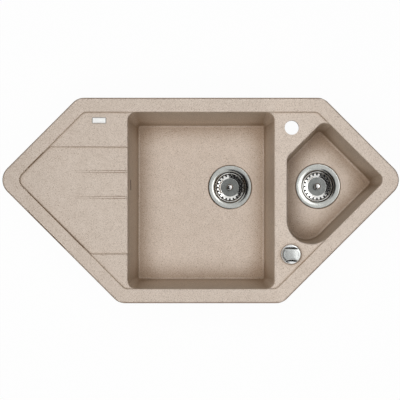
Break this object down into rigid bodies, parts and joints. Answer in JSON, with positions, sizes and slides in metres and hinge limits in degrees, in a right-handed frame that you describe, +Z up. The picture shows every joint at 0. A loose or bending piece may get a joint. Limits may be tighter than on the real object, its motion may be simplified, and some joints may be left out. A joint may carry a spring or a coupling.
{
  "type": "corner kitchen sink",
  "caption": "Corner kitchen sink of stone composite with a main bowl, a half bowl, a ribbed drainer, lift-out basket wastes and a turning control that raises the main basket.",
  "frame": {"origin": "middle of the worktop cut-out, on the worktop's surface, which is the underside of the rim", "axes": "+X along the wall from the drainer to the half bowl, +Y towards the wall, +Z up out of the worktop"},
  "size_m": [0.9648, 0.5, 0.303],
  "materials": {
    "stone": "matt, finely speckled",
    "steel": "satin",
    "chrome": "polished",
    "rubber": "matt",
    "plastic": "satin",
    "dark_plastic": "matt",
    "brass": "turned"
  },
  "bodies": {
    "sink": {"sink_body": "stone", "rim_seal": "rubber", "fixing_clips": "dark_plastic", "fixing_screws": "steel", "main_waste_cup": "steel", "main_flange_seal": "rubber", "main_body_gasket": "rubber", "main_waste_body": "plastic", "main_sleeve_screw": "brass", "half_waste_cup": "steel", "half_flange_seal": "rubber", "half_body_gasket": "rubber", "half_waste_body": "plastic", "half_clamp_screw": "steel", "control_escutcheon": "chrome", "control_gasket": "rubber", "control_sleeve": "plastic", "control_washer": "rubber", "control_nut": "dark_plastic", "control_housing": "plastic", "overflow_gasket": "rubber", "overflow_elbow": "plastic", "overflow_screws": "steel", "overflow_pipe": "plastic", "overflow_nuts": "dark_plastic", "overflow_seals": "rubber"},
    "control": {"control_knob": "chrome", "control_spindle": "steel", "cable_wheel": "plastic"},
    "lever": {"lift_lever": "plastic", "lift_axle": "steel", "lift_crank": "dark_plastic"},
    "lift_pin": {"main_lift_pin": "steel"},
    "main_basket": {"main_basket": "steel", "main_basket_knob": "chrome", "main_plug_seal": "rubber", "main_stem_nut": "brass"},
    "half_basket": {"half_basket": "steel", "half_basket_knob": "chrome", "half_plug_seal": "rubber", "half_stem_nut": "brass"}
  },
  "joints": [
    {"name": "knob_turn", "type": "hinge", "parent": "sink", "child": "control", "pos_m": [0.22, -0.131, 0], "axis": [0, 0, 1], "range_deg": [0, 90]},
    {"name": "lever_tilt", "type": "hinge", "parent": "sink", "child": "lever", "pos_m": [0.1025, 0.04, -0.239], "axis": [0, 1, 0], "range_deg": [0, 17.7]},
    {"name": "pin_lift", "type": "slide", "parent": "sink", "child": "lift_pin", "axis": [0, 0, 1], "range_m": [0, 0.008]},
    {"name": "main_basket_lift", "type": "slide", "parent": "lift_pin", "child": "main_basket", "axis": [0, 0, 1], "range_m": [0, 0.07]},
    {"name": "half_basket_lift", "type": "slide", "parent": "sink", "child": "half_basket", "axis": [0, 0, 1], "range_m": [0, 0.07]}
  ],
  "couplings": [
    {"joint": "lever_tilt", "follows": "knob_turn", "ratio": 0.1966},
    {"joint": "pin_lift", "follows": "knob_turn", "m_per_rad": 0.00509}
  ]
}
